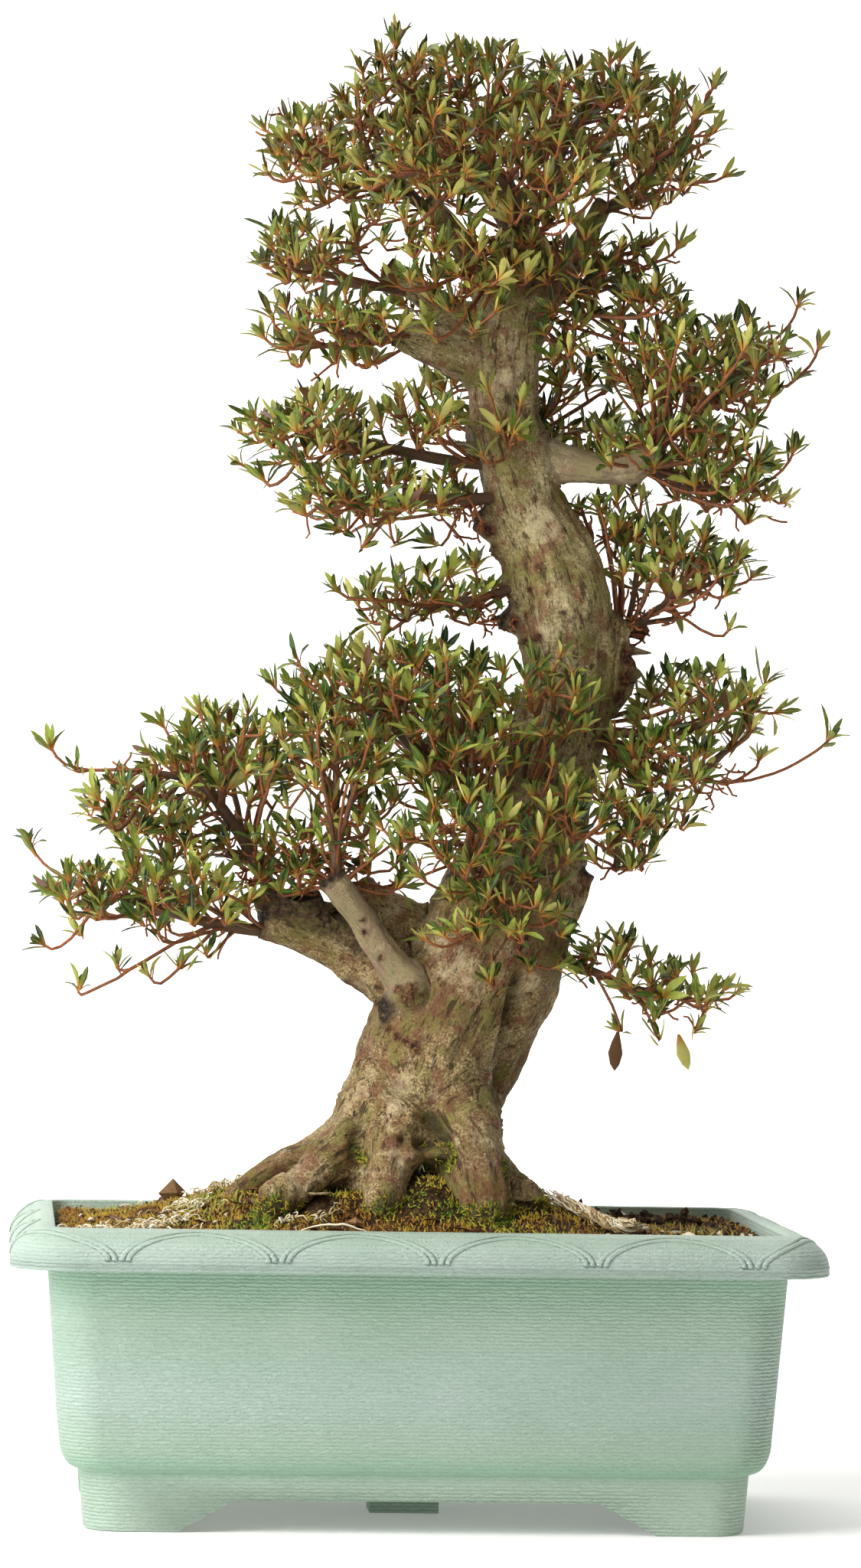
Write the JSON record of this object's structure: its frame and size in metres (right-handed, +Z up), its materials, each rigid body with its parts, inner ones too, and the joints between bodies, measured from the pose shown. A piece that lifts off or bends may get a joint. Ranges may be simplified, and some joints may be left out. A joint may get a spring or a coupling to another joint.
{
  "type": "satsuki azalea bonsai in a training pot",
  "caption": "Old azalea bonsai with a curved trunk, sawn limbs and layered leafy sprays, rooted in a mossy soil mound in a rectangular moulded pot with an arched rim.",
  "frame": {"origin": "middle of the pot's foot plane, on the flat underside of the centre foot", "axes": "+Z up along the trunk, +X along the pot's long side to the viewer's right, -Y towards the front of the bonsai"},
  "size_m": [0.6454, 0.4076, 1.1385],
  "materials": {
    "pot_plastic": "satin",
    "soil_and_moss": "matte",
    "bark": "matte",
    "leaf": "satin",
    "leaf_underside": "satin",
    "twig": "matte"
  },
  "bodies": {
    "root": {"pot": "pot_plastic", "soil": "soil_and_moss", "trunk": "bark", "spray_crown_left": "leaf", "spray_crown_top": "leaf", "spray_crown_right_top": "leaf", "spray_crown_right": "leaf", "spray_crown_front": "leaf", "spray_crown_back": "leaf", "spray_left_upper": "leaf", "spray_left_upper_low": "leaf", "spray_left_mid": "leaf", "spray_left_mid_low": "leaf", "spray_left_low_mid": "leaf", "spray_right_upper": "leaf", "spray_right_mid_top": "leaf", "spray_right_mid": "leaf", "spray_right_low_mid": "leaf", "spray_right_low": "leaf", "spray_centre_left": "leaf", "spray_centre_left_low": "leaf", "spray_far_left_top": "leaf", "spray_far_left": "leaf", "spray_centre_low": "leaf", "spray_right_lowest": "leaf", "spray_right_centre": "leaf", "spray_front_mid": "leaf", "spray_back_mid": "leaf", "spray_back_low": "leaf"}
  },
  "joints": []
}
